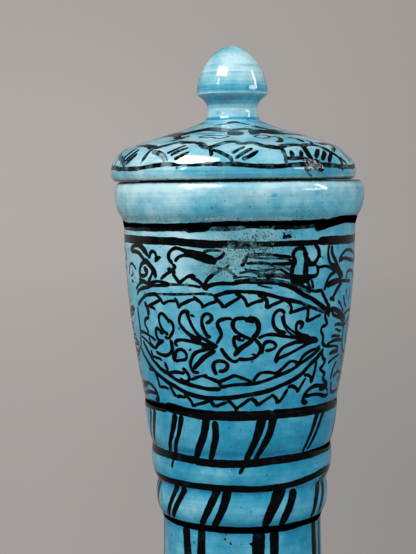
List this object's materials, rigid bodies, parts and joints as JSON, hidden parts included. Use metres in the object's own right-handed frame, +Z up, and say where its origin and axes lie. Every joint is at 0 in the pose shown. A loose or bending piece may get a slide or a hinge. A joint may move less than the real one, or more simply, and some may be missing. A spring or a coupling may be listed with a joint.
{
  "type": "lidded ceramic vase",
  "caption": "Tall turquoise-glazed ceramic vase with a rolled collar, ringed waist and spreading foot, black brush-painted bands and flowers, and a loose domed lid with an acorn knob.",
  "frame": {"origin": "centre of the foot ring, on the surface that the vase stands on", "axes": "+Z up the vase's axis towards the knob, -Y towards the pictured side, +X to the right in the picture"},
  "size_m": [0.1319, 0.13, 0.4115],
  "materials": {
    "vase_glaze": "glossy turquoise glaze, mottled and speckled",
    "lid_glaze": "glossy turquoise glaze, thinner and paler",
    "black_brushwork": "black painted strokes under the glaze",
    "bare_clay": "unglazed fired clay on the foot ring"
  },
  "bodies": {
    "vase": {"vase_body": "vase_glaze"},
    "lid": {"lid": "lid_glaze"}
  },
  "joints": [
    {"name": "lid_lift", "type": "slide", "parent": "vase", "child": "lid", "axis": [0, 0, 1], "range_m": [0, 0.12]}
  ]
}
